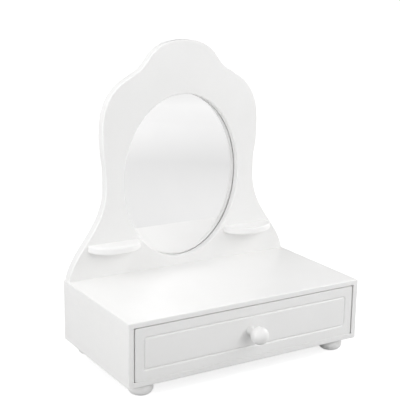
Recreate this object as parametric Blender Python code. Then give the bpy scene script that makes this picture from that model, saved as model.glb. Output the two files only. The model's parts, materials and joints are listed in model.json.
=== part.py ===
"""Tabletop vanity: a low cabinet with one drawer, an upright mirror panel and two half-moon shelves.

Frame: origin on the floor under the middle of the whole object's footprint, knob included.
+X is right as seen from the front, +Y is to the back and +Z is up.
Constants are in millimetres. Vertices and locations are written in metres.
"""
from math import asin, atan2, cos, hypot, pi, radians, sin

import bmesh
import bpy
from mathutils import Euler, Vector

MM = 0.001
GAP = 0.3

# Overall sizes
WIDTH = 420.0
DEPTH = 226.0
KNOB_REACH = 39.0
FRONT = KNOB_REACH - (DEPTH + KNOB_REACH) / 2
BACK = FRONT + DEPTH
HALF_WIDTH = WIDTH / 2

# Carcass
FOOT_HEIGHT = 20.0
CARCASS_HEIGHT = 101.0
SIDE_THICK = 9.0
TOP_THICK = 8.0
BOTTOM_THICK = 9.0
BACK_THICK = 3.0
BOARD_ROUND = 1.2
THIN_BOARD_ROUND = 0.4
CARCASS_TOP = FOOT_HEIGHT + CARCASS_HEIGHT
UNDER_TOP = CARCASS_TOP - TOP_THICK
FLOOR_TOP = FOOT_HEIGHT + BOTTOM_THICK
INNER_HALF = HALF_WIDTH - SIDE_THICK

# Feet
FOOT_RADIUS = 19.5
FOOT_FLAT_RADIUS = 9.5
FOOT_INSET_X = 32.5
FOOT_INSET_Y = 25.0
FOOT_STEPS = 6
FOOT_HOLE_DEPTH = 12.5

# Mirror panel, in its own plane: distance from the middle and height over the carcass top
PANEL_THICK = 16.0
PANEL_FRONT = BACK - PANEL_THICK
PANEL_HEIGHT = 376.0
PANEL_ROUND = 2.0
PANEL_CURVES = (
    ((208.0, 0.0), (197.0, 52.0), (140.8, 79.0), (140.8, 146.0)),
    ((140.8, 146.0), (140.8, 200.0), (146.2, 181.0), (146.2, 236.0)),
    ((146.2, 236.0), (146.2, 306.0), (100.5, 316.5), (81.5, 329.5)),
    ((81.5, 329.5), (59.5, 344.5), (60.0, PANEL_HEIGHT), (0.0, PANEL_HEIGHT)),
)
CURVE_STEPS = 9
FOOT_EDGE_STEPS = 14
ROUND_STEPS = 2

# Oval opening, mirror glass and backing board
OVAL_HEIGHT = 151.5
OVAL_HALF_X = 108.5
OVAL_HALF_Z = 137.0
LEDGE_DEPTH = 11.0
GLASS_THICK = 2.5
GLASS_LAP = 4.0
BACKING_THICK = 1.8
BACKING_LAP_X = 13.0
BACKING_LAP_Z = 11.0

# Shelves
SHELF_OFFSET = 128.0
SHELF_HALF = 46.0
SHELF_REACH = 34.5
SHELF_TOP = 56.0
SHELF_THICK = 12.0
SHELF_ROUND = 3.0
SHELF_STEPS = 16

# Drawer
FRONT_THICK = 15.0
FRONT_SIDE_GAP = 1.8
FRONT_TOP_GAP = 1.7
FRONT_RECESS = 0.5
RUN_GAP = 0.4
FRONT_ROUND = 1.2
FRONT_CORNER = 3.0
LINE_INSET = 14.0
LINE_SIDE_SHIFT = 1.5
LINE_WIDTH = 5.0
LINE_DEPTH = 1.8
LINE_CORNER = 1.5
CORNER_STEPS = 4
BOX_THICK = 9.0
BOX_ROUND = 0.5
TRAY_ROUND = 0.3
BOX_HEIGHT = 72.0
BOX_REAR_GAP = 0.5
TRAY_THICK = 3.0
TRAY_RAISE = 5.0
TRAY_GROOVE = 4.0
FRONT_FACE = FRONT + FRONT_RECESS
FRONT_BACK = FRONT_FACE + FRONT_THICK
FRONT_HALF = INNER_HALF - FRONT_SIDE_GAP
DRAWER_LOW = FLOOR_TOP + RUN_GAP
DRAWER_HIGH = UNDER_TOP - FRONT_TOP_GAP
DRAWER_MID = (DRAWER_LOW + DRAWER_HIGH) / 2
BOX_REAR = BACK - BACK_THICK - BOX_REAR_GAP
TRAY_LOW = DRAWER_LOW + TRAY_RAISE

# Knob
BALL_RADIUS = 14.0
NECK_RADIUS = 6.0
NECK_FLARE = 1.2
COLLAR_RADIUS = 7.5
COLLAR_THICK = 2.0
COLLAR_EASE = 0.6
KNOB_STEPS = 8
KNOB_HOLE_SPARE = 1.0
KNOB_RAISE = 2.0
KNOB_MID = DRAWER_MID + KNOB_RAISE

# Screws
SCREW_SEGMENTS = 12
ROUND_SEGMENTS = 28
HEAD_RIM = 0.5
TIP_LENGTH = 3.0
TIP_RADIUS = 0.5
FOOT_SCREW = {"head": 4.0, "shaft": 2.0, "length": 20.0}
PANEL_SCREW = {"head": 3.5, "shaft": 1.9, "length": 28.0}
SHELF_SCREW = {"head": 3.2, "shaft": 1.6, "length": 34.0}
BACKING_SCREW = {"head": 2.2, "shaft": 1.1, "length": 9.0}
PANEL_SCREW_X = (-165.0, -95.0, 95.0, 165.0)
SHELF_SCREW_SPREAD = 20.0
BACKING_SCREW_ANGLES = (20, 90, 160, 215, 270, 325)
CUT_OVER = 2.0
KNOB_SCREW_RADIUS = 2.0
KNOB_SCREW_HEAD = 4.5
KNOB_SCREW_LENGTH = 31.0
KNOB_SCREW_CAP = 2.2
KNOB_SCREW_EASE = 1.2
KNOB_SCREW_POINT = 0.6


def material(name, colour, roughness, metallic=0.0):
    """A plain Principled material."""
    made = bpy.data.materials.new(name)
    made.use_nodes = True
    shader = made.node_tree.nodes["Principled BSDF"]
    shader.inputs["Base Color"].default_value = (*colour, 1.0)
    shader.inputs["Roughness"].default_value = roughness
    shader.inputs["Metallic"].default_value = metallic
    return made


def add_object(name, mesh, paint, smooth=False):
    """Links a mesh as a named object with one material."""
    made = bpy.data.objects.new(name, mesh)
    bpy.context.scene.collection.objects.link(made)
    if paint is not None:
        mesh.materials.append(paint)
    for face in mesh.polygons:
        face.use_smooth = smooth
    return made


def loft_mesh(name, loops, ring=False):
    """Bridges equal loops of points (mm). Open lofts get a cap at each end, rings join last to first."""
    shape = bmesh.new()
    rows = []
    for loop in loops:
        rows.append([shape.verts.new(Vector(point) * MM) for point in loop])
    pairs = list(zip(rows, rows[1:]))
    if ring:
        pairs.append((rows[-1], rows[0]))
    else:
        shape.faces.new(rows[0])
        shape.faces.new(rows[-1])
    for low, high in pairs:
        for at in range(len(low)):
            after = (at + 1) % len(low)
            shape.faces.new((low[at], low[after], high[after], high[at]))
    bmesh.ops.recalc_face_normals(shape, faces=shape.faces)
    mesh = bpy.data.meshes.new(name)
    shape.to_mesh(mesh)
    shape.free()
    return mesh


def soften(part, width):
    """Rounds every edge of a plain board."""
    bevel = part.modifiers.new("round", "BEVEL")
    bevel.width = width * MM
    bevel.segments = 1
    bevel.limit_method = "ANGLE"
    bevel.angle_limit = radians(40)


def box_mesh(name, low, high):
    """A block between two corners, in mm."""
    outline = ((low[0], low[1]), (high[0], low[1]), (high[0], high[1]), (low[0], high[1]))
    return loft_mesh(name, [[(x, y, z) for x, y in outline] for z in (low[2], high[2])])


def board(name, low, high, paint, width=BOARD_ROUND):
    """A board with rounded edges."""
    made = add_object(name, box_mesh(name, low, high), paint)
    soften(made, width)
    return made


def circle(radius, height, segments):
    """Points round local Z."""
    turns = [2 * pi * at / segments for at in range(segments)]
    return [(radius * cos(turn), radius * sin(turn), height) for turn in turns]


def turned(name, profile, paint, location, rotation=(0, 0, 0), segments=ROUND_SEGMENTS):
    """A turned solid: profile is (radius, height) from one end cap to the other."""
    mesh = loft_mesh(name, [circle(radius, height, segments) for radius, height in profile])
    made = add_object(name, mesh, paint, smooth=True)
    made.location = Vector(location) * MM
    made.rotation_euler = rotation
    return made


def ellipse(half_x, half_z, depth, angles):
    """Points of the oval seen from its centre at the given polar angles, at one depth (y)."""
    points = []
    for angle in angles:
        reach = half_x * half_z / hypot(half_z * cos(angle), half_x * sin(angle))
        points.append((reach * cos(angle), depth, CARCASS_TOP + OVAL_HEIGHT + reach * sin(angle)))
    return points


def bezier(curve, at):
    """A point on a cubic curve."""
    back = 1 - at
    weights = (back ** 3, 3 * back ** 2 * at, 3 * back * at ** 2, at ** 3)
    return tuple(sum(weight * point[axis] for weight, point in zip(weights, curve)) for axis in (0, 1))


def panel_outline():
    """The panel's outline as (x, height), from the bottom right corner anticlockwise."""
    right = [bezier(curve, step / CURVE_STEPS) for curve in PANEL_CURVES for step in range(CURVE_STEPS)]
    left = [(-x, height) for x, height in reversed(right)]
    corner = right[0][0]
    bottom = [(corner * (2 * step / FOOT_EDGE_STEPS - 1), 0.0) for step in range(1, FOOT_EDGE_STEPS)]
    return right + [(0.0, PANEL_HEIGHT)] + left + bottom


def panel_angles():
    """The outline's points as polar angles from the oval's centre, shared by every oval loop."""
    return [atan2(height - OVAL_HEIGHT, x) for x, height in panel_outline()]


def inset(points, amount):
    """Moves a closed outline inwards by the same amount all round."""
    moved = []
    count = len(points)
    for at, (x, height) in enumerate(points):
        before = points[at - 1]
        after = points[(at + 1) % count]
        first = Vector((x - before[0], height - before[1])).normalized()
        second = Vector((after[0] - x, after[1] - height)).normalized()
        normal_one = Vector((-first.y, first.x))
        normal_two = Vector((-second.y, second.x))
        mitre = (normal_one + normal_two) / (1 + normal_one.dot(normal_two))
        moved.append((x + mitre.x * amount, height + mitre.y * amount))
    return moved


def quarter(radius, steps=ROUND_STEPS):
    """Steps of a quarter round: (inset from the side, depth below the face)."""
    turns = [pi / 2 * step / steps for step in range(steps + 1)]
    return [(radius * (1 - cos(turn)), radius * (1 - sin(turn))) for turn in turns]


def cut_holes(part, name, meshes):
    """Takes a set of separate shapes out of a part with one hidden cutter."""
    shape = bmesh.new()
    for mesh, matrix in meshes:
        copy = bmesh.new()
        copy.from_mesh(mesh)
        copy.transform(matrix)
        joined = bpy.data.meshes.new(name)
        copy.to_mesh(joined)
        copy.free()
        shape.from_mesh(joined)
        bpy.data.meshes.remove(joined)
    mesh = bpy.data.meshes.new(name)
    shape.to_mesh(mesh)
    shape.free()
    cutter = add_object(name, mesh, None)
    cutter.hide_render = True
    cutter.display_type = "WIRE"
    holes = part.modifiers.new("holes", "BOOLEAN")
    holes.operation = "DIFFERENCE"
    holes.solver = "EXACT"
    holes.object = cutter
    return cutter


class Screw:
    """A countersunk wood screw: its size, and the hole it needs."""

    def __init__(self, name, sizes, location, rotation):
        self.name = name
        self.head = sizes["head"]
        self.shaft = sizes["shaft"]
        self.length = sizes["length"]
        self.location = location
        self.rotation = rotation

    def make(self, paint):
        """The screw itself, pointing along local +Z."""
        cone = HEAD_RIM + self.head - self.shaft
        profile = (
            (self.head, 0.0),
            (self.head, HEAD_RIM),
            (self.shaft, cone),
            (self.shaft, self.length - TIP_LENGTH),
            (TIP_RADIUS, self.length),
        )
        return turned(self.name, profile, paint, self.location, self.rotation, SCREW_SEGMENTS)

    def hole(self):
        """The clearance hole's mesh and its place."""
        cone = HEAD_RIM + self.head - self.shaft
        profile = (
            (self.head + GAP, -CUT_OVER),
            (self.head + GAP, HEAD_RIM + GAP),
            (self.shaft + GAP, cone + GAP),
            (self.shaft + GAP, self.length + GAP),
        )
        name = self.name + "_hole"
        mesh = loft_mesh(name, [circle(radius, height, SCREW_SEGMENTS) for radius, height in profile])
        matrix = Euler(self.rotation).to_matrix().to_4x4()
        matrix.translation = Vector(self.location) * MM
        return mesh, matrix


UPWARDS = (0.0, 0.0, 0.0)
DOWNWARDS = (pi, 0.0, 0.0)
FORWARDS = (pi / 2, 0.0, 0.0)


def foot_places():
    """Name, x and y of each foot."""
    across = HALF_WIDTH - FOOT_INSET_X
    near = FRONT + FOOT_INSET_Y
    far = BACK - FOOT_INSET_Y
    return (
        ("front_left", -across, near),
        ("front_right", across, near),
        ("rear_left", -across, far),
        ("rear_right", across, far),
    )


def foot_screws():
    """One screw down into each foot, its head sunk in the bottom board."""
    found = []
    for name, x, y in foot_places():
        place = (x, y, FLOOR_TOP - HEAD_RIM)
        found.append(Screw("foot_screw_" + name, FOOT_SCREW, place, DOWNWARDS))
    return found


def panel_screws():
    """Screws up through the top board into the panel's lower edge."""
    found = []
    middle = BACK - PANEL_THICK / 2
    for at, x in enumerate(PANEL_SCREW_X, 1):
        place = (x, middle, UNDER_TOP + HEAD_RIM)
        found.append(Screw("panel_screw_%d" % at, PANEL_SCREW, place, UPWARDS))
    return found


def shelf_screws(side, sign):
    """Two screws from behind the panel into one shelf."""
    found = []
    height = CARCASS_TOP + SHELF_TOP - SHELF_THICK / 2
    for at, spread in enumerate((-SHELF_SCREW_SPREAD, SHELF_SCREW_SPREAD), 1):
        place = (sign * SHELF_OFFSET + spread, BACK - HEAD_RIM, height)
        found.append(Screw("shelf_screw_%s_%d" % (side, at), SHELF_SCREW, place, FORWARDS))
    return found


def backing_screws():
    """Small screws round the backing board's rim."""
    found = []
    lap_x = (GLASS_LAP + BACKING_LAP_X) / 2
    lap_z = (GLASS_LAP + BACKING_LAP_Z) / 2
    angles = [radians(angle) for angle in BACKING_SCREW_ANGLES]
    places = ellipse(OVAL_HALF_X + lap_x, OVAL_HALF_Z + lap_z, BACK - HEAD_RIM / 2, angles)
    for at, place in enumerate(places, 1):
        found.append(Screw("backing_screw_%d" % at, BACKING_SCREW, place, FORWARDS))
    return found


def build_carcass(paint):
    """Five boards and the holes for the screws that go through them."""
    top = board("top_board", (-HALF_WIDTH, FRONT, UNDER_TOP), (HALF_WIDTH, BACK, CARCASS_TOP), paint)
    cut_holes(top, "top_board_holes", [screw.hole() for screw in panel_screws()])
    for name, outer, inner in (
        ("side_left", -HALF_WIDTH, -INNER_HALF),
        ("side_right", INNER_HALF, HALF_WIDTH),
    ):
        board(name, (outer, FRONT, FOOT_HEIGHT), (inner, BACK, UNDER_TOP - GAP), paint)
    floor_half = INNER_HALF - GAP
    floor = board("bottom_board", (-floor_half, FRONT, FOOT_HEIGHT), (floor_half, BACK, FLOOR_TOP), paint)
    cut_holes(floor, "bottom_board_holes", [screw.hole() for screw in foot_screws()])
    low = (-floor_half, BACK - BACK_THICK, FLOOR_TOP + GAP)
    high = (floor_half, BACK, UNDER_TOP - GAP)
    board("back_board", low, high, paint, THIN_BOARD_ROUND)


def build_feet(paint):
    """Four turned bun feet, each with a blind hole for its screw."""
    height = FOOT_HEIGHT - GAP
    bulge = FOOT_RADIUS - FOOT_FLAT_RADIUS
    hole = FOOT_SCREW["shaft"] + GAP
    profile = [(hole, height - FOOT_HOLE_DEPTH), (hole, height)]
    for step in range(FOOT_STEPS + 1):
        turn = pi * step / FOOT_STEPS
        profile.append((FOOT_FLAT_RADIUS + bulge * sin(turn), height / 2 * (1 + cos(turn))))
    for name, x, y in foot_places():
        turned("foot_" + name, profile, paint, (x, y, 0.0))


def build_panel(paint):
    """The shaped upright board: oval opening, ledge for the glass and a wider rebate for its backing."""
    outline = panel_outline()
    low = CARCASS_TOP + GAP
    angles = panel_angles()
    stretch = (PANEL_HEIGHT - GAP) / PANEL_HEIGHT
    loops = []
    for inward, depth in quarter(PANEL_ROUND):
        rim = inset(outline, inward)
        loops.append([(x, PANEL_FRONT + depth, low + height * stretch) for x, height in rim])
    loops.reverse()
    loops.append([(x, BACK, low + height * stretch) for x, height in outline])
    ledge = PANEL_FRONT + LEDGE_DEPTH
    shelf = BACK - BACKING_THICK - GAP
    for lap_x, lap_z, near, far in (
        (BACKING_LAP_X, BACKING_LAP_Z, BACK, shelf),
        (GLASS_LAP, GLASS_LAP, shelf, ledge),
    ):
        for depth in (near, far):
            loops.append(ellipse(OVAL_HALF_X + lap_x, OVAL_HALF_Z + lap_z, depth, angles))
    loops.append(ellipse(OVAL_HALF_X, OVAL_HALF_Z, ledge, angles))
    for inward, depth in quarter(PANEL_ROUND):
        loops.append(ellipse(OVAL_HALF_X + inward, OVAL_HALF_Z + inward, PANEL_FRONT + depth, angles))
    panel = add_object("mirror_panel", loft_mesh("mirror_panel", loops, ring=True), paint)
    screws = panel_screws() + backing_screws() + shelf_screws("left", -1) + shelf_screws("right", 1)
    cut_holes(panel, "mirror_panel_holes", [screw.hole() for screw in screws])


def oval_plate(name, lap_x, lap_z, near, far, paint):
    """A flat oval that fits in the panel's rebate."""
    angles = panel_angles()
    loops = [ellipse(OVAL_HALF_X + lap_x, OVAL_HALF_Z + lap_z, depth, angles) for depth in (near, far)]
    return add_object(name, loft_mesh(name, loops), paint)


def build_mirror(glass, hardboard):
    """The glass against the ledge, and the backing board that holds it there."""
    near = PANEL_FRONT + LEDGE_DEPTH + GAP
    lap = GLASS_LAP - GAP
    oval_plate("mirror_glass", lap, lap, near, near + GLASS_THICK, glass)
    near = BACK - BACKING_THICK
    backing = oval_plate("mirror_backing", BACKING_LAP_X - GAP, BACKING_LAP_Z - GAP, near, BACK, hardboard)
    cut_holes(backing, "mirror_backing_holes", [screw.hole() for screw in backing_screws()])


def build_shelf(side, sign, paint):
    """A half-moon shelf with its flat edge on the panel's face."""
    turns = [pi * step / SHELF_STEPS for step in range(SHELF_STEPS + 1)]
    face = PANEL_FRONT - GAP
    top = CARCASS_TOP + SHELF_TOP
    rounds = quarter(SHELF_ROUND)
    layers = [(inward, top - depth) for inward, depth in reversed(rounds)]
    layers += [(inward, top - SHELF_THICK + depth) for inward, depth in rounds]
    loops = []
    for inward, height in layers:
        wide = SHELF_HALF - inward
        deep = SHELF_REACH - GAP - inward
        loops.append(
            [(sign * SHELF_OFFSET + wide * cos(turn), face - deep * sin(turn), height) for turn in turns]
        )
    name = "shelf_" + side
    shelf = add_object(name, loft_mesh(name, loops), paint)
    cut_holes(shelf, name + "_holes", [screw.hole() for screw in shelf_screws(side, sign)])


def rounded_rectangle(inward, depth, corner, widened=0.0):
    """A rounded rectangle on the drawer front, anticlockwise from the right end of its top right corner."""
    half_x = FRONT_HALF - inward + widened
    half_z = (DRAWER_HIGH - DRAWER_LOW) / 2 - inward
    points = []
    for at, (side_x, side_z) in enumerate(((1, 1), (-1, 1), (-1, -1), (1, -1))):
        for step in range(CORNER_STEPS):
            turn = pi / 2 * (at + step / (CORNER_STEPS - 1))
            x = side_x * (half_x - corner) + corner * cos(turn)
            z = DRAWER_MID + side_z * (half_z - corner) + corner * sin(turn)
            points.append((x, FRONT_FACE + depth, z))
    return points


def build_drawer_front(paint):
    """The drawer front: rounded edges, a routed line round the face and a hole for the knob's screw."""
    count = 4 * CORNER_STEPS
    turns = [2 * pi * (at + 0.5) / count for at in range(count)]
    hole = KNOB_SCREW_RADIUS + GAP

    def hole_loop(depth):
        return [(hole * cos(turn), FRONT_FACE + depth, KNOB_MID + hole * sin(turn)) for turn in turns]

    groove = LINE_WIDTH / 4
    loops = [
        hole_loop(0.0),
        rounded_rectangle(LINE_INSET + 4 * groove, 0.0, LINE_CORNER, LINE_SIDE_SHIFT),
        rounded_rectangle(LINE_INSET + 3 * groove, LINE_DEPTH, LINE_CORNER + groove, LINE_SIDE_SHIFT),
        rounded_rectangle(LINE_INSET + groove, LINE_DEPTH, LINE_CORNER + 3 * groove, LINE_SIDE_SHIFT),
        rounded_rectangle(LINE_INSET, 0.0, LINE_CORNER + 4 * groove, LINE_SIDE_SHIFT),
    ]
    for inward, depth in reversed(quarter(FRONT_ROUND)):
        loops.append(rounded_rectangle(inward, depth, FRONT_CORNER - inward))
    loops.append(rounded_rectangle(0.0, FRONT_THICK, FRONT_CORNER))
    loops.append(hole_loop(FRONT_THICK))
    return add_object("drawer_front", loft_mesh("drawer_front", loops, ring=True), paint)


def build_drawer_side(name, sign, wood):
    """A drawer side with the tray's groove along its inner face."""
    outer = FRONT_HALF
    inner = FRONT_HALF - BOX_THICK
    groove = inner + TRAY_GROOVE
    low = TRAY_LOW - GAP
    high = TRAY_LOW + TRAY_THICK + GAP
    section = (
        (outer, DRAWER_LOW),
        (outer, DRAWER_LOW + BOX_HEIGHT),
        (inner, DRAWER_LOW + BOX_HEIGHT),
        (inner, high),
        (groove, high),
        (groove, low),
        (inner, low),
        (inner, DRAWER_LOW),
    )
    ends = (FRONT_BACK + GAP, BOX_REAR)
    loops = [[(sign * x, y, z) for x, z in section] for y in ends]
    side = add_object(name, loft_mesh(name, loops), wood)
    soften(side, BOX_ROUND)
    return side


def build_drawer_box(wood):
    """The drawer's sides, back and tray."""
    left = build_drawer_side("drawer_side_left", -1, wood)
    right = build_drawer_side("drawer_side_right", 1, wood)
    inner = FRONT_HALF - BOX_THICK
    near = BOX_REAR - BOX_THICK
    low = (-inner + GAP, near, TRAY_LOW + TRAY_THICK + GAP)
    high = (inner - GAP, BOX_REAR, DRAWER_LOW + BOX_HEIGHT)
    back = board("drawer_back", low, high, wood, BOX_ROUND)
    reach = inner + TRAY_GROOVE - GAP
    low = (-reach, FRONT_BACK + GAP, TRAY_LOW)
    high = (reach, BOX_REAR, TRAY_LOW + TRAY_THICK)
    tray = board("drawer_bottom", low, high, wood, TRAY_ROUND)
    return [left, right, back, tray]


def build_knob(paint):
    """The turned knob: collar, neck and ball, with a blind hole for its screw."""
    total = KNOB_REACH + FRONT_RECESS
    centre = total - BALL_RADIUS
    hole = KNOB_SCREW_RADIUS + GAP
    reach = KNOB_SCREW_LENGTH - FRONT_THICK + KNOB_HOLE_SPARE
    waist = (COLLAR_THICK + centre - BALL_RADIUS) / 2 + COLLAR_EASE
    profile = [
        (hole, reach),
        (hole, GAP),
        (COLLAR_RADIUS - COLLAR_EASE, GAP),
        (COLLAR_RADIUS, GAP + COLLAR_EASE),
        (COLLAR_RADIUS - COLLAR_EASE, COLLAR_THICK),
        (NECK_RADIUS, waist),
    ]
    start = pi - asin((NECK_RADIUS + NECK_FLARE) / BALL_RADIUS)
    for step in range(KNOB_STEPS):
        turn = start * (1 - step / KNOB_STEPS)
        profile.append((BALL_RADIUS * sin(turn), centre + BALL_RADIUS * cos(turn)))
    profile.append((TIP_RADIUS, total))
    return turned("knob", profile, paint, (0.0, FRONT_FACE, KNOB_MID), FORWARDS)


def build_knob_screw(steel):
    """A pan-head screw from inside the drawer through the front into the knob."""
    profile = (
        (KNOB_SCREW_HEAD - KNOB_SCREW_EASE, -KNOB_SCREW_CAP - GAP),
        (KNOB_SCREW_HEAD, -KNOB_SCREW_CAP / 2 - GAP),
        (KNOB_SCREW_HEAD, -GAP),
        (KNOB_SCREW_RADIUS, -GAP),
        (KNOB_SCREW_RADIUS, KNOB_SCREW_LENGTH - KNOB_SCREW_POINT),
        (KNOB_SCREW_RADIUS - KNOB_SCREW_POINT, KNOB_SCREW_LENGTH),
    )
    place = (0.0, FRONT_BACK, KNOB_MID)
    return turned("knob_screw", profile, steel, place, FORWARDS, SCREW_SEGMENTS)


def build_drawer(paint, wood, steel):
    """Everything that slides, parented to one empty on the slide's line."""
    slide = bpy.data.objects.new("drawer_slide", None)
    bpy.context.scene.collection.objects.link(slide)
    slide.location = Vector((0.0, FRONT, DRAWER_MID)) * MM
    pieces = [build_drawer_front(paint), build_knob(paint), build_knob_screw(steel)]
    pieces += build_drawer_box(wood)
    for piece in pieces:
        piece.parent = slide
        piece.matrix_parent_inverse = slide.matrix_basis.inverted()


def main():
    """Builds the whole object."""
    for old in list(bpy.data.objects):
        bpy.data.objects.remove(old)
    paint = material("white_paint", (0.86, 0.85, 0.84), 0.35)
    wood = material("drawer_wood", (0.78, 0.66, 0.5), 0.6)
    hardboard = material("hardboard", (0.36, 0.25, 0.16), 0.75)
    glass = material("mirror_silver", (0.9, 0.92, 0.92), 0.03, 1.0)
    steel = material("screw_steel", (0.62, 0.6, 0.55), 0.35, 1.0)
    build_carcass(paint)
    build_feet(paint)
    build_panel(paint)
    build_mirror(glass, hardboard)
    build_shelf("left", -1, paint)
    build_shelf("right", 1, paint)
    screws = foot_screws() + panel_screws() + backing_screws()
    screws += shelf_screws("left", -1) + shelf_screws("right", 1)
    for screw in screws:
        screw.make(steel)
    build_drawer(paint, wood, steel)


main()
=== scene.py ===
"""Looks of the tabletop vanity: fine meshes, materials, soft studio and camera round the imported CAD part.

World frame as in the CAD: +X right, +Y back, +Z up, origin on the floor. Shapes are in millimetres and
are written to meshes in metres. The studio is in metres.
"""
import json
from math import asin, atan2, cos, hypot, pi, radians, sin

import bmesh
import bpy
from mathutils import Matrix, Vector


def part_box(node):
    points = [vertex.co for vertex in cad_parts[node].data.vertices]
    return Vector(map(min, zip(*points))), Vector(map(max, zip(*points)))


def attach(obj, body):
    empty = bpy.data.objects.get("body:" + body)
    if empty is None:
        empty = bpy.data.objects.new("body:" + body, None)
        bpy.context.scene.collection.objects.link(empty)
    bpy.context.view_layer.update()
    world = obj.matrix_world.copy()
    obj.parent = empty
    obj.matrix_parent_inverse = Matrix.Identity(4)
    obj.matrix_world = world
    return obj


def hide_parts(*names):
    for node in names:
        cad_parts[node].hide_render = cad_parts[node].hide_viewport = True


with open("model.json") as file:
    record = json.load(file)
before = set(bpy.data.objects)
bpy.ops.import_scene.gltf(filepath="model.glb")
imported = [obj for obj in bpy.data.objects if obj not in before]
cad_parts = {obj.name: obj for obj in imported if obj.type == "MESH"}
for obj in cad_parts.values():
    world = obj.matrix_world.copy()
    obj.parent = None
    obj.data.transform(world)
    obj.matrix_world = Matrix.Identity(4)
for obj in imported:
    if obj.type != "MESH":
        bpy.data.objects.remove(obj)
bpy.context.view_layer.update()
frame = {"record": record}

MM = 0.001
RECORD = frame["record"]
BODY_OF = {node: body for body, nodes in RECORD["behaviour"]["bodies"].items() for node in nodes}

# Board edges
OUTER_ROUND = 1.7
INNER_ROUND = 0.7
LOWER_ROUND = 2.0
FLOOR_ROUND = 0.3
SEAM_ROUND = 0.15
TRAY_ROUND = 0.2
BOX_ROUND = 0.8
ROUND_STEPS = 4

# Mirror panel in its own plane: distance from the middle, height over the cabinet's top
PANEL_HEIGHT = 376.0
PANEL_CURVES = (
    ((208.0, 0.0), (197.0, 52.0), (140.8, 79.0), (140.8, 146.0)),
    ((140.8, 146.0), (140.8, 200.0), (146.2, 181.0), (146.2, 236.0)),
    ((146.2, 236.0), (146.2, 306.0), (100.5, 316.5), (81.5, 329.5)),
    ((81.5, 329.5), (59.5, 344.5), (60.0, PANEL_HEIGHT), (0.0, PANEL_HEIGHT)),
)
CURVE_STEPS = 26
FOOT_EDGE_STEPS = 80
PANEL_ROUND = 2.2
BACK_ROUND = 0.7
OVAL_HEIGHT = 151.5
OVAL_HALF_X = 108.5
OVAL_HALF_Z = 137.0
OVAL_ROUND = 2.0
LEDGE_DEPTH = 11.0
GLASS_LAP = 4.0
GLASS_EASE = 0.5
SILVER_DEPTH = 1.5
SILVER_RIM = 1.5
BACKING_THICK = 1.8
BACKING_LAP_X = 13.0
BACKING_LAP_Z = 11.0
BACKING_EASE = 0.3
FIT_GAP = 0.3

# Shelves, feet and knob
SHELF_ROUND = 3.0
SHELF_STEPS = 56
TURNED_SEGMENTS = 72
FOOT_FLAT_RADIUS = 9.5
FOOT_STEPS = 26
BALL_RADIUS = 14.0
NECK_RADIUS = 6.0
NECK_FLARE = 1.2
COLLAR_RADIUS = 7.5
COLLAR_THICK = 2.0
KNOB_STEPS = 30
NECK_STEPS = 12
KNOB_TIP = 0.4

# Drawer
FRONT_ROUND = 1.2
FRONT_FOOT_SHARE = 0.1
FRONT_DROP = 0.3
CORNER_ROUND = 3.0
LINE_INSET = 14.0
LINE_SIDE_SHIFT = 1.5
LINE_WIDTH = 5.0
LINE_DEPTH = 1.8
LINE_CORNER = 1.5
LINE_STEPS = 10
CORNER_STEPS = 9
TRAY_GROOVE = 4.0
END_SHARE = 0.3

# Screws
SCREW_SEGMENTS = 28
HEAD_RIM = 0.5
THREAD_PITCH = 1.3
ROOT_SHARE = 0.72
RECESS_REACH = 0.55
RECESS_WIDTH = 0.17
SINK_GAP = 0.25
PAN_SHANK = 2.0
TURN_TO = {"up": 0.0, "down": pi, "forward": pi / 2}

# Camera: the view's own angles, in degrees, and its place in metres
CAMERA_PLACE = (-0.8147, -1.2712, 0.6310)
CAMERA_AZIMUTH = -31.453
CAMERA_ELEVATION = 14.135
CAMERA_ROLL = 0.90
CAMERA_LENS = 87.63
SENSOR_WIDTH = 36.0

# Studio: FAR and NEAR are (distance, size), a softbox is (name, azimuth, elevation, one of those, watts),
# and a veil's stops are (metres from the middle, grey)
FLOOR_ALBEDO = 0.5
FLOOR_HALF = 45.0
ROOM_LIGHT = 0.2
AIM_HEIGHT = 0.15
FAR = (2.2, 1.3)
NEAR = (1.1, 0.6)
SOFTBOXES = (
    ("front", 0, 18, FAR, 10.0),
    ("key", 15, 30, FAR, 10.0),
    ("left", -90, 20, FAR, 25.0),
    ("right", 90, 20, FAR, 20.0),
    ("behind", 180, 55, FAR, 7.0),
    ("above", 0, 90, FAR, 4.0),
    ("near_left", -60, 55, NEAR, 1.2),
    ("near_left_back", -115, 45, NEAR, 1.5),
    ("near_right", 60, 35, NEAR, 2.5),
)
FLOOR_VEIL_HEIGHT = 0.0002
MIRROR_VEIL_HEIGHT = 0.0004
FLOOR_VEIL = ((0.0, 0.75), (2.0, 0.85), (4.0, 1.0))
# MIRROR_VEIL is a painted reflection: a glowing grey gradient over the floor that only reflections see,
# giving the mirror its tones.
MIRROR_VEIL = ((0.0, 0.3), (1.3, 0.3), (2.1, 0.6), (2.5, 0.8), (6.0, 0.85))


# ---------------------------------------------------------------- mesh helpers

def box_mm(node):
    """Lowest and highest corner of a CAD node, in millimetres."""
    low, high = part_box(node)
    return low / MM, high / MM


def loft(name, loops, ring=False):
    """Bridges equal loops of points in mm. Open lofts get a cap at each end, rings join last to first."""
    shape = bmesh.new()
    rows = [[shape.verts.new(Vector(point) * MM) for point in loop] for loop in loops]
    pairs = list(zip(rows, rows[1:]))
    if ring:
        pairs.append((rows[-1], rows[0]))
    else:
        shape.faces.new(rows[0])
        shape.faces.new(rows[-1])
    for low, high in pairs:
        for at in range(len(low)):
            after = (at + 1) % len(low)
            shape.faces.new((low[at], low[after], high[after], high[at]))
    bmesh.ops.recalc_face_normals(shape, faces=shape.faces)
    mesh = bpy.data.meshes.new(name)
    shape.to_mesh(mesh)
    shape.free()
    return mesh


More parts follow.
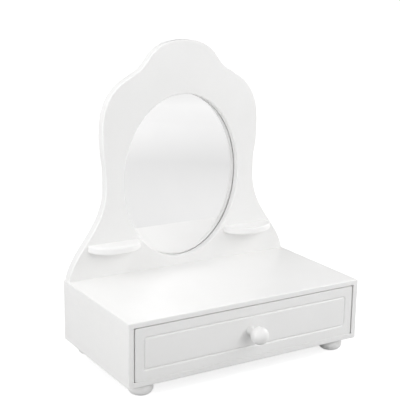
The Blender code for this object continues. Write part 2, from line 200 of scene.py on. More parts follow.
def block(name, low, high, rounds, default):
    """A box mesh whose edges carry the radius they are to be rounded with; 0 keeps an edge sharp.

    rounds maps an edge to its radius. The edge is the signs of its middle: (0, -1, 1) is front top.
    """
    shape = bmesh.new()
    bmesh.ops.create_cube(shape, size=2.0)
    layer = shape.edges.layers.float.new("bevel_weight_edge")
    largest = max([default, *rounds.values()])
    for edge in shape.edges:
        middle = (edge.verts[0].co + edge.verts[1].co) / 2
        radius = rounds.get(tuple(round(part) for part in middle), default)
        edge[layer] = radius / largest
        edge.smooth = radius > 0
    centre = (Vector(low) + Vector(high)) / 2
    half = (Vector(high) - Vector(low)) / 2
    for vert in shape.verts:
        vert.co = Vector([(centre[axis] + half[axis] * vert.co[axis]) * MM for axis in range(3)])
    mesh = bpy.data.meshes.new(name)
    shape.to_mesh(mesh)
    shape.free()
    return mesh, largest


def link(name, mesh):
    """Puts a mesh in the scene."""
    made = bpy.data.objects.new(name, mesh)
    bpy.context.scene.collection.objects.link(made)
    return made


def freeze(piece):
    """Turns a piece's modifiers into its mesh."""
    bpy.context.view_layer.update()
    graph = bpy.context.evaluated_depsgraph_get()
    mesh = bpy.data.meshes.new_from_object(piece.evaluated_get(graph))
    piece.modifiers.clear()
    piece.data = mesh


def cut(piece, cutters):
    """Takes meshes with their places out of a piece."""
    for mesh, matrix in cutters:
        cutter = link("cutter", mesh)
        cutter.matrix_world = matrix
        holes = piece.modifiers.new("hole", "BOOLEAN")
        holes.operation = "DIFFERENCE"
        holes.solver = "EXACT"
        holes.object = cutter
        freeze(piece)
        bpy.data.objects.remove(cutter)


def stands_for(piece, node, paint):
    """Finishes a fine piece: material, flat faces that shade flat, and the CAD node it stands for."""
    piece.data.materials.clear()
    piece.data.materials.append(paint)
    shading = piece.modifiers.new("even shading", "WEIGHTED_NORMAL")
    shading.mode = "FACE_AREA"
    shading.weight = 100
    shading.keep_sharp = True
    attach(piece, BODY_OF[node])
    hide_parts(node)


def smooth_piece(node, mesh, sharp_over):
    """A smooth shaded piece with hard edges over an angle in degrees."""
    piece = link("fine_" + node, mesh)
    mesh.shade_smooth()
    mesh.set_sharp_from_angle(angle=radians(sharp_over))
    return piece


def rounded_board(node, low, high, rounds, default):
    """A board with each edge rounded by its own radius."""
    mesh, largest = block("fine_" + node, low, high, rounds, default)
    piece = link("fine_" + node, mesh)
    for face in mesh.polygons:
        face.use_smooth = True
    bevel = piece.modifiers.new("arris", "BEVEL")
    bevel.limit_method = "WEIGHT"
    bevel.width = largest * MM
    bevel.segments = ROUND_STEPS
    freeze(piece)
    return piece


def circle(radius, height, segments):
    """Points round local Z."""
    turns = [2 * pi * at / segments for at in range(segments)]
    return [(radius * cos(turn), radius * sin(turn), height) for turn in turns]


def turned(node, profile, segments, sharp_over=40):
    """A turned piece: profile is (radius, height) from one end cap to the other."""
    mesh = loft("fine_" + node, [circle(radius, height, segments) for radius, height in profile])
    return smooth_piece(node, mesh, sharp_over)


def quarter(radius, steps=ROUND_STEPS + 2):
    """Steps of a quarter round: (inset from the side, depth below the face)."""
    turns = [pi / 2 * step / steps for step in range(steps + 1)]
    return [(radius * (1 - cos(turn)), radius * (1 - sin(turn))) for turn in turns]


# ---------------------------------------------------------------- materials

class Graph:
    """A material's nodes, wired by short calls."""

    def __init__(self, name):
        self.material = bpy.data.materials.new(name)
        self.material.use_nodes = True
        self.nodes = self.material.node_tree.nodes
        self.links = self.material.node_tree.links
        self.shader = self.nodes["Principled BSDF"]
        self.coordinates = self.nodes.new("ShaderNodeTexCoord").outputs["Object"]

    def set(self, **sockets):
        """Constant values on the shader's own sockets, with _ for a space in a socket's name."""
        for name, value in sockets.items():
            self.shader.inputs[name.replace("_", " ")].default_value = value

    def join(self, source, target):
        self.links.new(source, target)

    def scaled(self, scale):
        """Object coordinates stretched by a vector."""
        mapping = self.nodes.new("ShaderNodeMapping")
        mapping.inputs["Scale"].default_value = scale
        self.join(self.coordinates, mapping.inputs["Vector"])
        return mapping.outputs["Vector"]

    def noise(self, scale, detail=2.0, roughness=0.5, vector=None, distortion=0.0):
        """A noise height from 0 to 1. scale is in turns per metre."""
        made = self.nodes.new("ShaderNodeTexNoise")
        made.inputs["Scale"].default_value = scale
        made.inputs["Detail"].default_value = detail
        made.inputs["Roughness"].default_value = roughness
        made.inputs["Distortion"].default_value = distortion
        self.join(vector or self.coordinates, made.inputs["Vector"])
        return made.outputs["Fac"]

    def ramp(self, source, *stops):
        """Colours or greys along a value: stops are (place, colour or grey)."""
        made = self.nodes.new("ShaderNodeValToRGB")
        elements = made.color_ramp.elements
        while len(elements) < len(stops):
            elements.new(0.5)
        for element, (place, colour) in zip(elements, stops):
            element.position = place
            colour = colour if isinstance(colour, tuple) else (colour,) * 3
            element.color = (*colour, 1.0)
        self.join(source, made.inputs["Fac"])
        return made.outputs["Color"]

    def spread(self, source, low, high, from_low=0.3, from_high=0.7):
        """A value moved from one range into another, kept inside it."""
        made = self.nodes.new("ShaderNodeMapRange")
        made.inputs["From Min"].default_value = from_low
        made.inputs["From Max"].default_value = from_high
        made.inputs["To Min"].default_value = low
        made.inputs["To Max"].default_value = high
        self.join(source, made.inputs["Value"])
        return made.outputs["Result"]

    def math(self, operation, first, second):
        """Two values joined by one sum; either may be a plain number."""
        made = self.nodes.new("ShaderNodeMath")
        made.operation = operation
        for socket, value in zip(made.inputs, (first, second)):
            if isinstance(value, (int, float)):
                socket.default_value = value
            else:
                self.join(value, socket)
        return made.outputs["Value"]

    def mix(self, share, first, second, blend="MIX"):
        """Two colours mixed by a share, which is a value or a number."""
        made = self.nodes.new("ShaderNodeMix")
        made.data_type = "RGBA"
        made.blend_type = blend
        if isinstance(share, (int, float)):
            made.inputs["Factor"].default_value = share
        else:
            self.join(share, made.inputs["Factor"])
        for name, value in (("A", first), ("B", second)):
            socket = next(s for s in made.inputs if s.name == name and s.type == "RGBA")
            if isinstance(value, tuple):
                socket.default_value = (*value, 1.0)
            else:
                self.join(value, socket)
        return next(s for s in made.outputs if s.type == "RGBA")

    def bump(self, *layers):
        """Stacks (height, strength, depth in mm) layers into the shader's normal."""
        before = None
        for height, strength, depth in layers:
            made = self.nodes.new("ShaderNodeBump")
            made.inputs["Strength"].default_value = strength
            made.inputs["Distance"].default_value = depth * MM
            self.join(height, made.inputs["Height"])
            if before is not None:
                self.join(before, made.inputs["Normal"])
            before = made.outputs["Normal"]
        self.join(before, self.shader.inputs["Normal"])

    def crest(self, low, high):
        """How far a point lies on a convex edge, from 0 to 1."""
        shape = self.nodes.new("ShaderNodeNewGeometry").outputs["Pointiness"]
        return self.spread(shape, 0.0, 1.0, low, high)


def white_lacquer(name, tone, dull, smooth):
    """White lacquer on smooth board: roller texture, faint clouding, polished edges, and convex edges
    lightened in patches, partly rubbed paint and partly a painted highlight on the arrises.

    tone scales the white, dull and smooth are its highest and lowest roughness.
    """
    graph = Graph(name)
    cloud = graph.noise(7.0, 3.0, 0.55)
    low, high = (0.846, 0.844, 0.838), (0.872, 0.871, 0.868)
    low, high = (tuple(part * tone for part in colour) for colour in (low, high))
    body = graph.ramp(cloud, (0.32, low), (0.68, high))
    speck = graph.noise(380.0, 2.0, 0.6)
    body = graph.mix(graph.spread(speck, 0.0, 0.35), body, (0.835 * tone, 0.832 * tone, 0.822 * tone))
    scuff_and_highlight_patches = graph.noise(60.0, 4.0, 0.65, graph.scaled((1.0, 1.0, 2.5)), 0.4)
    # Convex edges are lighter in colour in patches: partly rubbed paint, partly a painted highlight on the
    # rounded arrises.
    edge = graph.math("MULTIPLY", graph.crest(0.53, 0.62), graph.spread(scuff_and_highlight_patches, 0.0, 1.0, 0.42, 0.66))
    body = graph.mix(graph.math("MULTIPLY", edge, 0.5), body, (0.905, 0.898, 0.878))
    graph.join(body, graph.shader.inputs["Base Color"])
    gloss = graph.spread(graph.noise(22.0, 3.0, 0.6), smooth, dull)
    gloss = graph.math("SUBTRACT", gloss, graph.math("MULTIPLY", edge, 0.08))
    graph.join(gloss, graph.shader.inputs["Roughness"])
    peel = graph.noise(620.0, 2.0, 0.5)
    roller = graph.noise(150.0, 3.0, 0.55)
    sag = graph.noise(26.0, 2.0, 0.4)
    graph.bump((sag, 0.25, 0.5), (roller, 0.16, 0.16), (peel, 0.22, 0.05))
    return graph.material


def planed_wood(name, along, pale, dark):
    """Bare planed wood, its grain along one axis: growth rings, pores, and fine saw fuzz."""
    graph = Graph(name)
    stretch = [1.0, 1.0, 1.0]
    stretch[along] = 0.045
    log = graph.scaled(stretch)
    rings = graph.noise(70.0, 3.0, 0.45, log, 1.6)
    body = graph.ramp(rings, (0.30, pale), (0.47, dark), (0.55, pale), (0.70, dark))
    stretch[along] = 0.02
    fibre = graph.scaled(stretch)
    streak = graph.noise(900.0, 3.0, 0.6, fibre)
    body = graph.mix(graph.spread(streak, 0.0, 0.45), body, tuple(part * 0.82 for part in dark))
    drift = graph.noise(9.0, 2.0, 0.5)
    body = graph.mix(graph.spread(drift, 0.0, 0.25), body, (0.80, 0.70, 0.55), "MULTIPLY")
    graph.join(body, graph.shader.inputs["Base Color"])
    graph.join(graph.spread(streak, 0.50, 0.68), graph.shader.inputs["Roughness"])
    graph.bump((rings, 0.15, 0.2), (streak, 0.35, 0.12))
    return graph.material


def pressed_board():
    """Brown hardboard: felted fibres, dark flecks and a faint sheen from the press."""
    graph = Graph("brown_hardboard")
    felt = graph.noise(420.0, 5.0, 0.7, None, 2.2)
    dark, brown, tan = (0.155, 0.092, 0.050), (0.262, 0.167, 0.096), (0.375, 0.252, 0.152)
    body = graph.ramp(felt, (0.28, dark), (0.52, brown), (0.74, tan))
    cloud = graph.noise(16.0, 3.0, 0.5)
    body = graph.mix(graph.spread(cloud, 0.0, 0.4), body, (0.21, 0.135, 0.08))
    graph.join(body, graph.shader.inputs["Base Color"])
    graph.join(graph.spread(felt, 0.52, 0.72), graph.shader.inputs["Roughness"])
    graph.bump((graph.noise(90.0, 2.0), 0.2, 0.3), (felt, 0.45, 0.15))
    return graph.material


def silvered_glass():
    """A mirror: silver with the last trace of wiping marks."""
    graph = Graph("silvered_glass")
    haze = graph.noise(11.0, 4.0, 0.6, graph.scaled((1.0, 1.0, 0.5)), 0.7)
    silver = graph.ramp(haze, (0.30, (0.922, 0.921, 0.920)), (0.70, (0.937, 0.935, 0.934)))
    graph.join(silver, graph.shader.inputs["Base Color"])
    graph.set(Metallic=1.0)
    graph.join(graph.spread(haze, 0.008, 0.030), graph.shader.inputs["Roughness"])
    graph.bump((graph.noise(5.0, 1.0), 0.03, 0.2))
    return graph.material


def plated_steel():
    """Zinc plated steel: pale yellow and blue passivation and fine handling marks."""
    graph = Graph("zinc_plate")
    graph.set(Metallic=1.0)
    tint = graph.noise(240.0, 3.0, 0.6)
    grey, yellow, blue = (0.60, 0.59, 0.55), (0.66, 0.65, 0.60), (0.60, 0.62, 0.64)
    body = graph.ramp(tint, (0.32, grey), (0.5, yellow), (0.68, blue))
    graph.join(body, graph.shader.inputs["Base Color"])
    marks = graph.noise(1500.0, 3.0, 0.6)
    graph.join(graph.spread(marks, 0.26, 0.42), graph.shader.inputs["Roughness"])
    graph.bump((marks, 0.3, 0.03))
    return graph.material


# ---------------------------------------------------------------- cabinet

def build_cabinet(paint):
    """Top, sides, floor and back. Top and sides meet flush, as filled and painted joints do."""
    low, high = box_mm("top_board")
    under_top = low.z
    rounds = {
        (0, -1, 1): OUTER_ROUND, (-1, 0, 1): OUTER_ROUND, (1, 0, 1): OUTER_ROUND,
        (-1, -1, 0): OUTER_ROUND, (1, -1, 0): OUTER_ROUND, (-1, 0, -1): 0.0, (1, 0, -1): 0.0,
        (0, -1, -1): 0.0, (0, 1, -1): 0.0,
    }
    top = rounded_board("top_board", low, high, rounds, INNER_ROUND)
    panel_screws = ["panel_screw_%d" % at for at in range(1, 5)]
    cut(top, [screw_hole(node, "up") for node in panel_screws])
    stands_for(top, "top_board", paint)
    for node, sign in (("side_left", -1), ("side_right", 1)):
        low, high = box_mm(node)
        high.z = under_top
        rounds = {
            (sign, -1, 0): OUTER_ROUND, (-sign, -1, 0): INNER_ROUND, (sign, 0, -1): OUTER_ROUND,
            (0, -1, 1): 0.0, (0, 1, 1): 0.0, (-1, 0, 1): 0.0, (1, 0, 1): 0.0,
        }
        stands_for(rounded_board(node, low, high, rounds, INNER_ROUND), node, paint)
    low, high = box_mm("bottom_board")
    low.x = box_mm("side_left")[1].x
    high.x = box_mm("side_right")[0].x
    rounds = {(0, -1, -1): LOWER_ROUND, (0, -1, 1): SEAM_ROUND}
    floor = rounded_board("bottom_board", low, high, rounds, FLOOR_ROUND)
    foot_screws = [name for name in BODY_OF if name.startswith("foot_screw_")]
    cut(floor, [screw_hole(node, "down") for node in foot_screws])
    stands_for(floor, "bottom_board", paint)
    low, high = box_mm("back_board")
    stands_for(rounded_board("back_board", low, high, {}, FLOOR_ROUND), "back_board", paint)


def build_feet(paint):
    """Turned bun feet with a small flat tread and a soft shoulder under the board."""
    for node in [name for name in BODY_OF if name.startswith("foot_") and "screw" not in name]:
        low, high = box_mm(node)
        radius = (high.x - low.x) / 2
        height = box_mm("bottom_board")[0].z
        bulge = radius - FOOT_FLAT_RADIUS
        profile = [(FOOT_FLAT_RADIUS - 1.5, 0.0), (FOOT_FLAT_RADIUS - 0.4, 0.15)]
        for step in range(1, FOOT_STEPS + 1):
            turn = pi * step / FOOT_STEPS
            profile.append((FOOT_FLAT_RADIUS + bulge * sin(turn), height / 2 * (1 - cos(turn))))
        foot = turned(node, profile, TURNED_SEGMENTS)
        foot.location = Vector(((low.x + high.x) / 2, (low.y + high.y) / 2, 0.0)) * MM
        stands_for(foot, node, paint)


# ---------------------------------------------------------------- mirror panel

def bezier(curve, at):
    """A point on a cubic curve."""
    back = 1 - at
    weights = (back ** 3, 3 * back ** 2 * at, 3 * back * at ** 2, at ** 3)
    return tuple(sum(weight * point[axis] for weight, point in zip(weights, curve)) for axis in (0, 1))


def panel_outline():
    """The outline as (x, height), anticlockwise from bottom right, and how many points are curved."""
    right = [bezier(curve, step / CURVE_STEPS) for curve in PANEL_CURVES for step in range(CURVE_STEPS)]
    left = [(-x, height) for x, height in reversed(right)]
    curved = right + [(0.0, PANEL_HEIGHT)] + left
    corner = right[0][0]
    bottom = [(corner * (2 * step / FOOT_EDGE_STEPS - 1), 0.0) for step in range(1, FOOT_EDGE_STEPS)]
    return curved + bottom, len(curved)


def eased_outline(amount):
    """The outline with its curved edge moved inwards and its straight foot left in place."""
    outline, curved = panel_outline()
    moved = []
    for at, (x, height) in enumerate(outline):
        if at >= curved:
            share = x / outline[0][0]
            moved.append((share * moved[0][0], height))
            continue
        before = outline[max(at - 1, 0)]
        after = outline[min(at + 1, curved - 1)]
        along = Vector((after[0] - before[0], after[1] - before[1])).normalized()
        normal = Vector((-along.y, along.x))
        if at in (0, curved - 1):
            moved.append((x + amount / normal.x, height))
        else:
            moved.append((x + normal.x * amount, height + normal.y * amount))
    return moved


def ellipse(half_x, half_z, depth, angles):
    """Points of the oval at polar angles from its centre, at one depth (y)."""
    centre = box_mm("top_board")[1].z + OVAL_HEIGHT
    points = []
    for angle in angles:
        reach = half_x * half_z / hypot(half_z * cos(angle), half_x * sin(angle))
        points.append((reach * cos(angle), depth, centre + reach * sin(angle)))
    return points


def panel_angles():
    """The outline's points as polar angles from the oval's centre, shared by every oval loop."""
    return [atan2(height - OVAL_HEIGHT, x) for x, height in panel_outline()[0]]


def build_panel(paint):
    """The shaped board: rounded outline, oval opening, ledge for the glass and rebate for the backing."""
    low, high = box_mm("mirror_panel")
    front, back = low.y, high.y
    base = box_mm("top_board")[1].z
    angles = panel_angles()
    loops = []
    for inward, depth in quarter(PANEL_ROUND):
        loops.append([(x, front + depth, base + height) for x, height in eased_outline(inward)])
    loops.reverse()
    for inward, depth in quarter(BACK_ROUND, 3):
        loops.append([(x, back - depth, base + height) for x, height in eased_outline(inward)])
    ledge = front + LEDGE_DEPTH
    rest = back - BACKING_THICK - FIT_GAP
    for lap_x, lap_z, near, far in (
        (BACKING_LAP_X, BACKING_LAP_Z, back, rest),
        (GLASS_LAP, GLASS_LAP, rest, ledge),
    ):
        for depth in (near, far):
            loops.append(ellipse(OVAL_HALF_X + lap_x, OVAL_HALF_Z + lap_z, depth, angles))
    loops.append(ellipse(OVAL_HALF_X + GLASS_EASE, OVAL_HALF_Z + GLASS_EASE, ledge, angles))
    loops.append(ellipse(OVAL_HALF_X, OVAL_HALF_Z, ledge - GLASS_EASE, angles))
    for inward, depth in quarter(OVAL_ROUND):
        loops.append(ellipse(OVAL_HALF_X + inward, OVAL_HALF_Z + inward, front + depth, angles))
    panel = smooth_piece("mirror_panel", loft("fine_mirror_panel", loops, ring=True), 40)
    screws = [name for name in BODY_OF if name.startswith("shelf_screw_")]
    cut(panel, [screw_hole(node, "forward") for node in screws])
    stands_for(panel, "mirror_panel", paint)


def oval_plate(node, lap_x, lap_z, ease, sunk=0.0):
    """A flat oval with eased edges in the panel's rebate. sunk is how far its face lies inside its rim."""
    low, high = box_mm(node)
    angles = panel_angles()
    loops = []
    if sunk:
        for depth in (sunk, 0.0):
            loops.append(ellipse(OVAL_HALF_X + SILVER_RIM, OVAL_HALF_Z + SILVER_RIM, low.y + depth, angles))
    for near, away in ((low.y, 1), (high.y, -1)):
        edge = []
        for inward, depth in quarter(ease, 4):
            half_x = OVAL_HALF_X + lap_x - inward
            half_z = OVAL_HALF_Z + lap_z - inward
            edge.append(ellipse(half_x, half_z, near + away * depth, angles))
        loops += reversed(edge) if away == 1 else edge
    return smooth_piece(node, loft("fine_" + node, loops), 40)


def build_mirror(silver, hardboard):
    """The glass on its ledge, shown as its sunk silver, and the hardboard that holds it."""
    lap = GLASS_LAP - FIT_GAP
    stands_for(oval_plate("mirror_glass", lap, lap, GLASS_EASE, SILVER_DEPTH), "mirror_glass", silver)
    backing = oval_plate("mirror_backing", BACKING_LAP_X - FIT_GAP, BACKING_LAP_Z - FIT_GAP, BACKING_EASE)
    screws = ["backing_screw_%d" % at for at in range(1, 7)]
    cut(backing, [screw_hole(node, "forward") for node in screws])
    stands_for(backing, "mirror_backing", hardboard)


def build_shelves(paint):
    """Half-moon shelves with bull-nosed edges, glued flat to the panel."""
    face = box_mm("mirror_panel")[0].y
    turns = [pi * step / SHELF_STEPS for step in range(SHELF_STEPS + 1)]
    for node in ("shelf_left", "shelf_right"):
        low, high = box_mm(node)
        middle = (low.x + high.x) / 2
        half = (high.x - low.x) / 2
        reach = face - low.y
        layers = [(inward, high.z - depth) for inward, depth in reversed(quarter(SHELF_ROUND))]
        layers += [(inward, low.z + depth) for inward, depth in quarter(SHELF_ROUND)]
        loops = []
        for inward, height in layers:
            wide, deep = half - inward, reach - inward
            loops.append([(middle + wide * cos(turn), face - deep * sin(turn), height) for turn in turns])
        shelf = smooth_piece(node, loft("fine_" + node, loops), 50)
        stands_for(shelf, node, paint)


# ---------------------------------------------------------------- drawer

def rounded_rectangle(inward, depth, corner, foot=None, widened=0.0):
    """A rounded rectangle on the drawer front, anticlockwise from its top right corner's right end.

    foot is how far the lower side moves up, where that isn't the same as the other sides' inward.
    """
    low, high = box_mm("drawer_front")
    left, right = low.x + inward - widened, high.x - inward + widened
    bottom, top = low.z + (inward if foot is None else foot), high.z - inward
    points = []
    for at, (x, z) in enumerate(((right, top), (left, top), (left, bottom), (right, bottom))):
        middle_x = x + (corner if x < 0 else -corner)
        middle_z = z + (corner if z == bottom else -corner)
        for step in range(CORNER_STEPS):
            turn = pi / 2 * (at + step / (CORNER_STEPS - 1))
            points.append((middle_x + corner * cos(turn), low.y + depth, middle_z + corner * sin(turn)))
    return points


def build_drawer_front(paint):
    """The front: eased edges, tight along its foot, and a soft routed line round the face."""
    low, high = box_mm("drawer_front")
    loops = []
    for step in range(LINE_STEPS + 1):
        share = step / LINE_STEPS
        across = LINE_WIDTH * (1 - share)
        depth = LINE_DEPTH * (1 - cos(2 * pi * share)) / 2
        corner = LINE_CORNER + LINE_WIDTH - across
        loops.append(rounded_rectangle(LINE_INSET + across, depth, corner, widened=LINE_SIDE_SHIFT))
    for inward, depth in reversed(quarter(FRONT_ROUND)):
        foot = inward * FRONT_FOOT_SHARE - FRONT_DROP
        loops.append(rounded_rectangle(inward, depth, CORNER_ROUND - inward, foot))
    loops.append(rounded_rectangle(0.0, high.y - low.y, CORNER_ROUND, -FRONT_DROP))
    front = smooth_piece("drawer_front", loft("fine_drawer_front", loops), 40)
    stands_for(front, "drawer_front", paint)


def build_drawer_side(node, sign, wood):
    """A drawer side with eased top edges and the tray's groove along its inner face."""
    low, high = box_mm(node)
    thick = high.x - low.x
    tray_low, tray_high = box_mm("drawer_bottom")
    outer = high.x if sign > 0 else -low.x
    inner = outer - thick
    ease = BOX_ROUND
    section = [(outer, low.z)]
    section += [(outer - inward, high.z - depth) for inward, depth in quarter(ease, 3)]
    section += [(inner + inward, high.z - depth) for inward, depth in reversed(quarter(ease, 3))]
    section += [
        (inner, tray_high.z + FIT_GAP), (inner + TRAY_GROOVE, tray_high.z + FIT_GAP),
        (inner + TRAY_GROOVE, tray_low.z - FIT_GAP), (inner, tray_low.z - FIT_GAP), (inner, low.z),
    ]
    near = box_mm("drawer_front")[1].y
    loops = [[(sign * x, y, z) for x, z in section] for y in (near, high.y - ease, high.y)]
    middle = (outer + inner) / 2
    shift = sign * ease * END_SHARE
    loops[2] = [(x - shift if abs(x) > middle else x, y, z) for x, y, z in loops[2]]
    stands_for(smooth_piece(node, loft("fine_" + node, loops), 40), node, wood)


def build_drawer_box(side_wood, back_wood, tray_wood):
    """Sides, back and tray of bare wood."""
    build_drawer_side("drawer_side_left", -1, side_wood)
    build_drawer_side("drawer_side_right", 1, side_wood)
    low, high = box_mm("drawer_back")
    rounds = {(0, -1, 1): BOX_ROUND, (0, 1, 1): BOX_ROUND}
    stands_for(rounded_board("drawer_back", low, high, rounds, SEAM_ROUND), "drawer_back", back_wood)
    low, high = box_mm("drawer_bottom")
    stands_for(rounded_board("drawer_bottom", low, high, {}, TRAY_ROUND), "drawer_bottom", tray_wood)


def build_knob(paint):
    """Turned knob: a thin rounded collar, a waisted neck and a ball."""
    low, high = box_mm("knob")
    face = box_mm("drawer_front")[0].y
    reach = face - low.y
    centre = reach - BALL_RADIUS
    bead = COLLAR_THICK / 2
    profile = [(COLLAR_RADIUS - bead, 0.0)]
    for step in range(1, 9):
        turn = pi * step / 8
        profile.append((COLLAR_RADIUS - bead + bead * sin(turn), bead * (1 - cos(turn))))
    join = pi - asin((NECK_RADIUS + NECK_FLARE) / BALL_RADIUS)
    neck_high = centre + BALL_RADIUS * cos(join)
    wide = COLLAR_RADIUS - bead
    for step in range(1, NECK_STEPS):
        share = step / NECK_STEPS
        start, end = wide, NECK_RADIUS + NECK_FLARE
        dip = (start + (end - start) * share - NECK_RADIUS) * sin(pi * share) ** 0.5
        height = COLLAR_THICK + (neck_high - COLLAR_THICK) * share
        profile.append((start + (end - start) * share - dip, height))
    for step in range(KNOB_STEPS):
        turn = join * (1 - step / KNOB_STEPS)
        profile.append((BALL_RADIUS * sin(turn), centre + BALL_RADIUS * cos(turn)))
    profile.append((KNOB_TIP, reach))
    knob = turned("knob", profile, TURNED_SEGMENTS, 55)
    middle = (low + high) / 2
    knob.rotation_euler = (pi / 2, 0.0, 0.0)
    knob.location = Vector((middle.x, face, middle.z)) * MM
    stands_for(knob, "knob", paint)


# ---------------------------------------------------------------- screws

def screw_place(node, heading):
    """A screw's matrix with its head at local zero, its head radius and its length."""
    low, high = box_mm(node)
    middle = (low + high) / 2
    radius = (high.x - low.x) / 2
    if heading == "up":
        head, length = Vector((middle.x, middle.y, low.z)), high.z - low.z
    elif heading == "down":
        head, length = Vector((middle.x, middle.y, high.z)), high.z - low.z
    else:
        head, length = Vector((middle.x, high.y, middle.z)), high.y - low.y
    turn = Matrix.Rotation(TURN_TO[heading], 4, "X")
    return Matrix.Translation(head * MM) @ turn, radius, length


def screw_hole(node, heading):
    """The countersunk hole's mesh and place."""
    matrix, radius, length = screw_place(node, heading)
    shaft = radius / 2
    profile = [
        (radius + SINK_GAP, -2.0),
        (radius + SINK_GAP, HEAD_RIM),
        (shaft + SINK_GAP, HEAD_RIM + radius - shaft),
        (shaft + SINK_GAP, length + 0.5),
    ]
    mesh = loft(node + "_hole", [circle(size, height, SCREW_SEGMENTS) for size, height in profile])
    return mesh, matrix


def cross_recess(radius, top, depth):
    """A tapered cross to cut into a screw head whose face is at top."""
    loops = []
    for height, share in ((top - 0.5, 1.05), (top, 1.0), (top + depth, 0.42)):
        reach, width = radius * RECESS_REACH * share, radius * RECESS_WIDTH * share
        corner = [(reach, -width), (reach, width), (width, width)]
        loop = []
        for quarter_turn in range(4):
            turn = Matrix.Rotation(pi / 2 * quarter_turn, 2)
            loop += [(*(turn @ Vector(point)), height) for point in corner]
        loops.append(loop)
    return loft("recess", loops)


def thread_profile(shaft, start, length):
    """Thread crests and roots down the shank to a point."""
    profile = []
    turns = int((length - start - 3.0) / THREAD_PITCH)
    for turn in range(turns):
        height = start + turn * THREAD_PITCH
        profile += [
            (shaft * ROOT_SHARE, height),
            (shaft, height + THREAD_PITCH * 0.45),
            (shaft, height + THREAD_PITCH * 0.55),
        ]
    profile += [(shaft * ROOT_SHARE, start + turns * THREAD_PITCH), (0.2, length)]
    return profile


def build_screw(node, heading, steel):
    """A countersunk wood screw with a cross recess."""
    matrix, radius, length = screw_place(node, heading)
    shaft = radius / 2
    cone = HEAD_RIM + radius - shaft
    profile = [(radius * 0.93, 0.02), (radius * 0.99, 0.12), (radius, HEAD_RIM), (shaft, cone)]
    profile += thread_profile(shaft, cone + 1.0, length)
    screw = turned(node, profile, SCREW_SEGMENTS, 30)
    cut(screw, [(cross_recess(radius, 0.02, radius * 0.7), Matrix.Identity(4))])
    screw.matrix_world = matrix
    stands_for(screw, node, steel)


def build_knob_screw(steel):
    """The pan-head machine screw that holds the knob from inside the drawer."""
    low, high = box_mm("knob_screw")
    face = box_mm("drawer_front")[1].y
    cap = high.y - face
    radius = (high.x - low.x) / 2
    length = face - low.y
    profile = [(0.3, -cap)]
    for step in range(1, 7):
        turn = pi / 2 * step / 6
        profile.append((radius * sin(turn), -cap * cos(turn) ** 0.8 if step < 6 else -0.6))
    profile += [(radius, 0.0), (PAN_SHANK, 0.0)]
    profile += thread_profile(PAN_SHANK, 1.0, length)
    screw = turned("knob_screw", profile, SCREW_SEGMENTS, 30)
    cut(screw, [(cross_recess(radius, -cap, cap * 0.8), Matrix.Identity(4))])
    screw.rotation_euler = (TURN_TO["forward"], 0.0, 0.0)
    middle = (low + high) / 2
    screw.location = Vector((middle.x, face, middle.z)) * MM
    stands_for(screw, "knob_screw", steel)


def build_screws(steel):
    """Every fastener, headed the way its CAD node points."""
    for node in [name for name in BODY_OF if "screw" in name and name != "knob_screw"]:
        heading = "down" if node.startswith("foot") else "up" if node.startswith("panel") else "forward"
        build_screw(node, heading, steel)
    build_knob_screw(steel)


# ---------------------------------------------------------------- studio

def add_camera():
    """The camera, turned by its azimuth, elevation and roll."""
    data = bpy.data.cameras.new("camera")
    data.lens = CAMERA_LENS
    data.sensor_width = SENSOR_WIDTH
    camera = bpy.data.objects.new("camera", data)
    bpy.context.scene.collection.objects.link(camera)
    spin = Matrix.Rotation(radians(CAMERA_AZIMUTH), 3, "Z")
    tilt = Matrix.Rotation(pi / 2 - radians(CAMERA_ELEVATION), 3, "X")
    roll = Matrix.Rotation(radians(CAMERA_ROLL), 3, "Z")
    camera.rotation_euler = (spin @ tilt @ roll).to_euler()
    camera.location = CAMERA_PLACE
    bpy.context.scene.camera = camera


def add_softbox(name, azimuth, elevation, where, power):
    """A square softbox aimed at the object. In degrees, azimuth 0 stands in front and 90 on the right."""
    distance, size = where
    data = bpy.data.lights.new(name, "AREA")
    data.size = size
    data.energy = power
    lamp = bpy.data.objects.new(name, data)
    bpy.context.scene.collection.objects.link(lamp)
    turn, rise = radians(azimuth), radians(elevation)
    away = Vector((sin(turn) * cos(rise), -cos(turn) * cos(rise), sin(rise)))
    lamp.location = Vector((0.0, 0.0, AIM_HEIGHT)) + away * distance
    lamp.rotation_euler = away.to_track_quat("Z", "Y").to_euler()
    lamp.visible_camera = False


def only_seen_by(piece, camera, glossy):
    """Limits which rays meet a studio sheet."""
    piece.visible_camera = camera
    piece.visible_glossy = glossy
    piece.visible_diffuse = False
    piece.visible_shadow = False
    piece.visible_transmission = False
    piece.visible_volume_scatter = False


def flat_square(name, height, paint):
    """A level square of the studio, centred under the object."""
    half = FLOOR_HALF
    mesh = bpy.data.meshes.new(name)
    corners = [(-half, -half, height), (half, -half, height), (half, half, height), (-half, half, height)]
    mesh.from_pydata(corners, [], [(0, 1, 2, 3)])
    mesh.materials.append(paint)
    made = link(name, mesh)
    return made


def add_floor():
    """A broad pale floor."""
    made = bpy.data.materials.new("floor")
    made.use_nodes = True
    shader = made.node_tree.nodes["Principled BSDF"]
    shader.inputs["Base Color"].default_value = (FLOOR_ALBEDO, FLOOR_ALBEDO, FLOOR_ALBEDO, 1.0)
    shader.inputs["Roughness"].default_value = 0.9
    shader.inputs["Specular IOR Level"].default_value = 0.0
    flat_square("floor", 0.0, made)


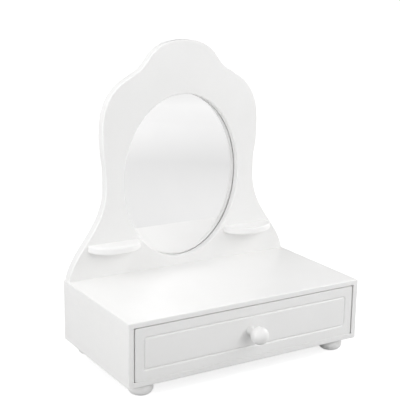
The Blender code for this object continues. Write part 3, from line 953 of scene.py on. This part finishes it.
def add_veil(name, height, stops, camera=False, glossy=False):
    """A sheet of light just over the floor, added to what lies under it.

    It lights nothing. Only the camera sees it, or only reflections do. No real studio has one.
    """
    paint = bpy.data.materials.new(name)
    paint.use_nodes = True
    nodes = paint.node_tree.nodes
    join = paint.node_tree.links.new
    nodes.clear()
    place = nodes.new("ShaderNodeTexCoord")
    distance = nodes.new("ShaderNodeVectorMath")
    distance.operation = "LENGTH"
    join(place.outputs["Object"], distance.inputs[0])
    share = nodes.new("ShaderNodeMath")
    share.operation = "DIVIDE"
    share.inputs[1].default_value = stops[-1][0]
    join(distance.outputs["Value"], share.inputs[0])
    ramp = nodes.new("ShaderNodeValToRGB")
    elements = ramp.color_ramp.elements
    while len(elements) < len(stops):
        elements.new(0.5)
    for element, (reach, grey) in zip(elements, stops):
        element.position = reach / stops[-1][0]
        element.color = (grey, grey, grey, 1.0)
    join(share.outputs["Value"], ramp.inputs["Fac"])
    glow = nodes.new("ShaderNodeEmission")
    join(ramp.outputs["Color"], glow.inputs["Color"])
    clear = nodes.new("ShaderNodeBsdfTransparent")
    both = nodes.new("ShaderNodeAddShader")
    join(glow.outputs["Emission"], both.inputs[0])
    join(clear.outputs["BSDF"], both.inputs[1])
    out = nodes.new("ShaderNodeOutputMaterial")
    join(both.outputs["Shader"], out.inputs["Surface"])
    only_seen_by(flat_square(name, height, paint), camera, glossy)


def add_sky():
    """The even light of the room, which the camera sees as plain white."""
    world = bpy.data.worlds.new("room")
    world.use_nodes = True
    nodes = world.node_tree.nodes
    join = world.node_tree.links.new
    room = nodes["Background"]
    room.inputs["Color"].default_value = (1.0, 1.0, 1.0, 1.0)
    room.inputs["Strength"].default_value = ROOM_LIGHT
    white = nodes.new("ShaderNodeBackground")
    white.inputs["Color"].default_value = (1.0, 1.0, 1.0, 1.0)
    either = nodes.new("ShaderNodeMixShader")
    join(nodes.new("ShaderNodeLightPath").outputs["Is Camera Ray"], either.inputs["Fac"])
    join(room.outputs["Background"], either.inputs[1])
    join(white.outputs["Background"], either.inputs[2])
    join(either.outputs["Shader"], nodes["World Output"].inputs["Surface"])
    bpy.context.scene.world = world


def build_studio():
    """Floor, room light, softboxes and colour handling."""
    add_floor()
    add_veil("white_floor", FLOOR_VEIL_HEIGHT, FLOOR_VEIL, camera=True)
    # Painted reflection: this sheet glows only for reflected rays and paints the gradient the mirror shows.
    add_veil("painted_mirror_reflection", MIRROR_VEIL_HEIGHT, MIRROR_VEIL, glossy=True)
    add_sky()
    for softbox in SOFTBOXES:
        add_softbox(*softbox)
    bpy.context.scene.view_settings.view_transform = "Standard"


def main():
    """Builds every fine piece and the studio round them."""
    paint = white_lacquer("satin_white", 1.0, 0.46, 0.36)
    pale, dark = (0.74, 0.60, 0.42), (0.60, 0.44, 0.27)
    side_wood = planed_wood("pine_lengthways", 1, pale, dark)
    back_wood = planed_wood("pine_crossways", 0, pale, dark)
    tray_wood = planed_wood("birch_ply", 0, (0.78, 0.67, 0.50), (0.69, 0.56, 0.39))
    steel = plated_steel()
    build_cabinet(paint)
    build_feet(paint)
    build_panel(paint)
    build_mirror(silvered_glass(), pressed_board())
    build_shelves(paint)
    build_drawer_front(paint)
    build_drawer_box(side_wood, back_wood, tray_wood)
    # The knob's lacquer is a darker, glossier copy of the boards' lacquer: partly the knob's own paint,
    # partly painted shade on the ball.
    build_knob(white_lacquer("knob_white", 0.95, 0.42, 0.34))
    build_screws(steel)
    build_studio()
    add_camera()


main()
